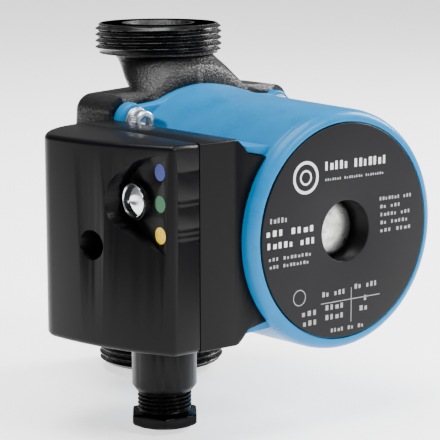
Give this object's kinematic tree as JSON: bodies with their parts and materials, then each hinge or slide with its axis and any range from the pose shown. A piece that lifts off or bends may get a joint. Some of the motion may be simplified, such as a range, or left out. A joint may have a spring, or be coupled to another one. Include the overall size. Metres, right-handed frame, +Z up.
{
  "type": "circulator pump",
  "caption": "Wet-rotor in-line heating circulator: cast pump body with threaded ports, round motor head and side control box with a cable gland",
  "frame": {"origin": "centre of the lower (inlet) port face, on the pipe axis", "axes": "+Z runs up the pipe from inlet to outlet; the motor points towards -Y; the control box is on the -X side"},
  "size_m": [0.1284, 0.1347, 0.1309],
  "materials": {
    "cast_iron_black": "black coated, sand cast",
    "blue_paint": "satin sky-blue paint on die-cast aluminium",
    "steel": "machined stainless",
    "zinc_plated": "zinc plated",
    "nickel_silver": "nickel plated",
    "ceramic_dark": "ground",
    "sealing_rubber": "moulded",
    "laminations": "stacked laminations",
    "copper": "enamelled wire",
    "impeller_plastic": "glass-filled",
    "insulator_plastic": "moulded",
    "box_plastic": "fine matt texture",
    "gland_plastic": "glossy black",
    "plate_grey": "matt dark grey",
    "board_green": "solder mask",
    "component_black": "moulded",
    "terminal_grey": "moulded",
    "led_clear": "clear",
    "lens_blue": "translucent",
    "lens_green": "translucent",
    "lens_yellow": "translucent",
    "button_silver": "polished",
    "spring_steel": "drawn wire"
  },
  "bodies": {
    "pump_body": {"bearing_plate": "steel", "box_screws": "steel", "button_switch": "component_black", "can_seal": "sealing_rubber", "capacitor": "component_black", "choke": "component_black", "circuit_board": "board_green", "control_box_base": "box_plastic", "front_bearing": "ceramic_dark", "gland_seal": "sealing_rubber", "housing_gasket": "sealing_rubber", "lid_gasket": "sealing_rubber", "motor_housing": "blue_paint", "motor_plug": "insulator_plastic", "motor_screws": "zinc_plated", "nameplate": "plate_grey", "power_module": "component_black", "pump_housing": "cast_iron_black", "rear_bearing": "ceramic_dark", "rotor_can": "steel", "screw_washers": "zinc_plated", "stator_core": "laminations", "stator_windings": "copper", "status_leds": "led_clear", "terminal_block": "terminal_grey", "terminal_screws": "steel", "wear_ring": "nickel_silver", "winding_insulators": "insulator_plastic"},
    "rotor": {"shaft": "steel", "impeller": "impeller_plastic", "impeller_shroud": "impeller_plastic", "thrust_bearing": "ceramic_dark", "rotor_core": "laminations", "rotor_magnets": "laminations", "rotor_sleeve": "steel"},
    "vent_ring": {"vent_seal": "sealing_rubber"},
    "vent_plug": {"vent_screw": "nickel_silver"},
    "gland_ring": {"gland_washer": "insulator_plastic"},
    "gland_nut": {"gland_screw": "gland_plastic"},
    "lid": {"control_box_lid": "box_plastic", "lid_screw": "steel", "light_guide_upper": "lens_blue", "light_guide_middle": "lens_green", "light_guide_lower": "lens_yellow"},
    "button": {"speed_button": "button_silver", "button_spring": "spring_steel"}
  },
  "joints": [
    {"name": "rotor_spin", "type": "hinge", "parent": "pump_body", "child": "rotor", "pos_m": [0, -0.05, 0.065], "axis": [0, -1, 0], "continuous": true},
    {"name": "vent_rise", "type": "slide", "parent": "pump_body", "child": "vent_ring", "axis": [0, -1, 0], "range_m": [0, 0.004]},
    {"name": "vent_turn", "type": "hinge", "parent": "vent_ring", "child": "vent_plug", "pos_m": [0, -0.09, 0.065], "axis": [0, -1, 0], "range_deg": [0, 1440]},
    {"name": "gland_rise", "type": "slide", "parent": "pump_body", "child": "gland_ring", "axis": [0, 0, 1], "range_m": [-0.00282, 0.00558]},
    {"name": "gland_turn", "type": "hinge", "parent": "gland_ring", "child": "gland_nut", "pos_m": [-0.0512, -0.0715, 0.005], "axis": [0, 0, 1], "range_deg": [-720, 1424]},
    {"name": "lid_pull", "type": "slide", "parent": "pump_body", "child": "lid", "axis": [-1, 0, 0], "range_m": [0, 0.035]},
    {"name": "button_press", "type": "slide", "parent": "lid", "child": "button", "axis": [1, 0, 0], "range_m": [0, 0.001], "stiffness_N_per_m": 1000, "springref_m": -0.001, "deforming": ["button_spring"]}
  ],
  "couplings": [
    {"joint": "vent_rise", "follows": "vent_turn", "m_per_rad": 0.00015915},
    {"joint": "gland_rise", "follows": "gland_turn", "m_per_rad": 0.00022441}
  ]
}
